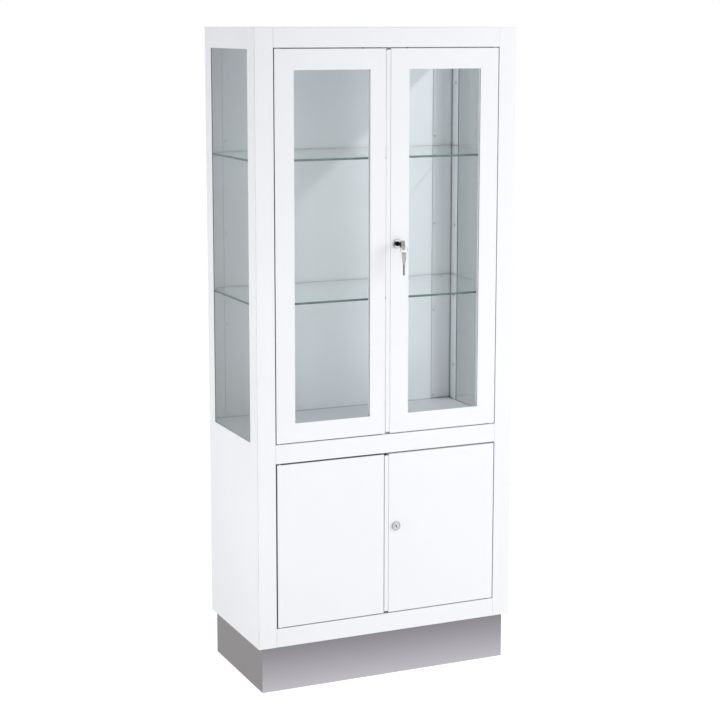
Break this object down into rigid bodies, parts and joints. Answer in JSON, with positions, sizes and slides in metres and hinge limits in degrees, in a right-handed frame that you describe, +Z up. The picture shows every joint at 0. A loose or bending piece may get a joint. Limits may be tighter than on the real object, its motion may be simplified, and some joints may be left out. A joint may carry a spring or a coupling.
{
  "type": "medical cabinet",
  "caption": "Tall white steel medical cabinet with glazed upper doors and sides, glass shelves, plain lower doors, cam locks with keys and a recessed steel plinth.",
  "frame": {"origin": "On the floor, under the middle of the overall box, which takes in the key standing out of the upper lock: 174 mm behind the door faces and 226 mm in front of the back.", "axes": "+X runs to the right across the front, +Y from the doors to the back, +Z up."},
  "size_m": [0.8, 0.4615, 1.875],
  "materials": {
    "white_coat": "smooth white powder coat, satin",
    "plinth_steel": "satin stainless steel, grain along the plinth",
    "window_glass": "clear float glass with green edges",
    "shelf_glass": "clear float glass with ground green edges",
    "zinc_steel": "bright zinc-plated steel",
    "lock_chrome": "polished chrome plate",
    "key_steel": "nickel-plated steel, lightly worn",
    "dark_rubber": "soft dark grey rubber",
    "white_nylon": "moulded nylon"
  },
  "bodies": {
    "cabinet_body": {"plinth": "plinth_steel", "base_panel": "white_coat", "left_side_panel": "white_coat", "right_side_panel": "white_coat", "top_panel": "white_coat", "back_panel": "white_coat", "top_rail": "white_coat", "middle_rail": "white_coat", "bottom_rail": "white_coat", "middle_deck": "white_coat", "left_side_glass": "window_glass", "right_side_glass": "window_glass", "left_glass_frame": "white_coat", "right_glass_frame": "white_coat", "upper_glass_shelf": "shelf_glass", "lower_glass_shelf": "shelf_glass", "steel_shelf": "white_coat", "shelf_pins": "zinc_steel", "shelf_sleeves": "white_nylon", "pivot_pins": "zinc_steel", "door_buffers": "dark_rubber", "body_screws": "zinc_steel"},
    "upper_left_door": {"upper_left_door_shell": "white_coat", "upper_left_door_inner": "white_coat", "upper_left_door_glass": "window_glass", "upper_left_door_seal": "dark_rubber", "upper_left_door_bushes": "white_nylon", "upper_left_bolt_guides": "zinc_steel"},
    "upper_right_door": {"upper_right_door_shell": "white_coat", "upper_right_door_inner": "white_coat", "upper_right_door_glass": "window_glass", "upper_right_door_seal": "dark_rubber", "upper_right_door_bushes": "white_nylon", "upper_right_door_lip": "white_coat", "upper_lock_barrel": "lock_chrome", "upper_lock_nut": "zinc_steel"},
    "lower_left_door": {"lower_left_door_shell": "white_coat", "lower_left_door_inner": "white_coat", "lower_left_door_bushes": "white_nylon", "lower_left_bolt_guides": "zinc_steel"},
    "lower_right_door": {"lower_right_door_shell": "white_coat", "lower_right_door_inner": "white_coat", "lower_right_door_bushes": "white_nylon", "lower_right_door_lip": "white_coat", "lower_lock_barrel": "lock_chrome", "lower_lock_nut": "zinc_steel"},
    "upper_lock_core": {"upper_lock_plug": "lock_chrome", "upper_lock_cam": "zinc_steel", "upper_cam_screw": "zinc_steel", "door_key": "key_steel"},
    "lower_lock_core": {"lower_lock_plug": "lock_chrome", "lower_lock_cam": "zinc_steel", "lower_cam_screw": "zinc_steel"},
    "hanging_ring": {"key_ring": "lock_chrome"},
    "hanging_key": {"spare_key": "key_steel"},
    "upper_left_head_bolt": {"upper_left_top_bolt": "zinc_steel"},
    "upper_left_foot_bolt": {"upper_left_bottom_bolt": "zinc_steel"},
    "lower_left_head_bolt": {"lower_left_top_bolt": "zinc_steel"},
    "lower_left_foot_bolt": {"lower_left_bottom_bolt": "zinc_steel"}
  },
  "joints": [
    {"name": "upper_left_door_swing", "type": "hinge", "parent": "cabinet_body", "child": "upper_left_door", "pos_m": [-0.333, -0.169, 1.2715], "axis": [0, 0, -1], "range_deg": [0, 110]},
    {"name": "upper_right_door_swing", "type": "hinge", "parent": "cabinet_body", "child": "upper_right_door", "pos_m": [0.333, -0.169, 1.2715], "axis": [0, 0, 1], "range_deg": [0, 110]},
    {"name": "lower_left_door_swing", "type": "hinge", "parent": "cabinet_body", "child": "lower_left_door", "pos_m": [-0.333, -0.169, 0.429], "axis": [0, 0, -1], "range_deg": [0, 110]},
    {"name": "lower_right_door_swing", "type": "hinge", "parent": "cabinet_body", "child": "lower_right_door", "pos_m": [0.333, -0.169, 0.429], "axis": [0, 0, 1], "range_deg": [0, 110]},
    {"name": "upper_lock_turn", "type": "hinge", "parent": "upper_right_door", "child": "upper_lock_core", "pos_m": [0.025, -0.174, 1.2715], "axis": [0, 1, 0], "range_deg": [0, 90]},
    {"name": "lower_lock_turn", "type": "hinge", "parent": "lower_right_door", "child": "lower_lock_core", "pos_m": [0.025, -0.174, 0.4495], "axis": [0, 1, 0], "range_deg": [0, 90]},
    {"name": "key_ring_swing", "type": "hinge", "parent": "upper_lock_core", "child": "hanging_ring", "pos_m": [0.025, -0.2205, 1.2701], "axis": [-1, 0, 0], "range_deg": [-10, 40]},
    {"name": "spare_key_swing", "type": "hinge", "parent": "hanging_ring", "child": "hanging_key", "pos_m": [0.025, -0.2205, 1.2481], "axis": [-1, 0, 0], "range_deg": [-10, 30]},
    {"name": "upper_left_head_bolt_slide", "type": "slide", "parent": "upper_left_door", "child": "upper_left_head_bolt", "axis": [0, 0, 1], "range_m": [0, 0.015]},
    {"name": "upper_left_foot_bolt_slide", "type": "slide", "parent": "upper_left_door", "child": "upper_left_foot_bolt", "axis": [0, 0, -1], "range_m": [0, 0.015]},
    {"name": "lower_left_head_bolt_slide", "type": "slide", "parent": "lower_left_door", "child": "lower_left_head_bolt", "axis": [0, 0, 1], "range_m": [0, 0.015]},
    {"name": "lower_left_foot_bolt_slide", "type": "slide", "parent": "lower_left_door", "child": "lower_left_foot_bolt", "axis": [0, 0, -1], "range_m": [0, 0.015]}
  ]
}
